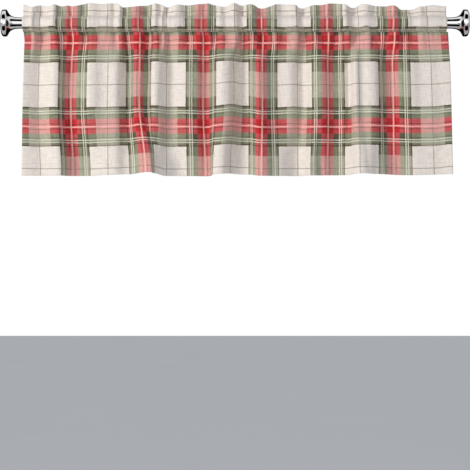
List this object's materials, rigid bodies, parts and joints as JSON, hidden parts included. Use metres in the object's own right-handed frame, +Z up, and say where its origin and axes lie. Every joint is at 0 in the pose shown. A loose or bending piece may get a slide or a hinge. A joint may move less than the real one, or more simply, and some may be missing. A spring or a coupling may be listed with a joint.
{
  "type": "window valance with curtain rod",
  "caption": "Plaid rod-pocket window valance with a ruffled heading, gathered on a round chrome curtain rod with trumpet finials.",
  "frame": {"origin": "on the rod's axis at the middle of its length, which is the point that the wall brackets carry", "axes": "+X along the rod to the right as seen from the room, +Y towards the wall, +Z up; the room sees the cloth from -Y"},
  "size_m": [1.176, 0.0685, 0.4358],
  "materials": {
    "plaid_cloth": "matt plain-woven cloth, cream ground with a printed red, green and pale plaid",
    "rod_chrome": "bright chrome plate",
    "finial_chrome": "bright chrome plate"
  },
  "bodies": {
    "root": {"valance_panel": "plaid_cloth", "curtain_rod": "rod_chrome", "finial_left": "finial_chrome", "finial_right": "finial_chrome"}
  },
  "joints": []
}
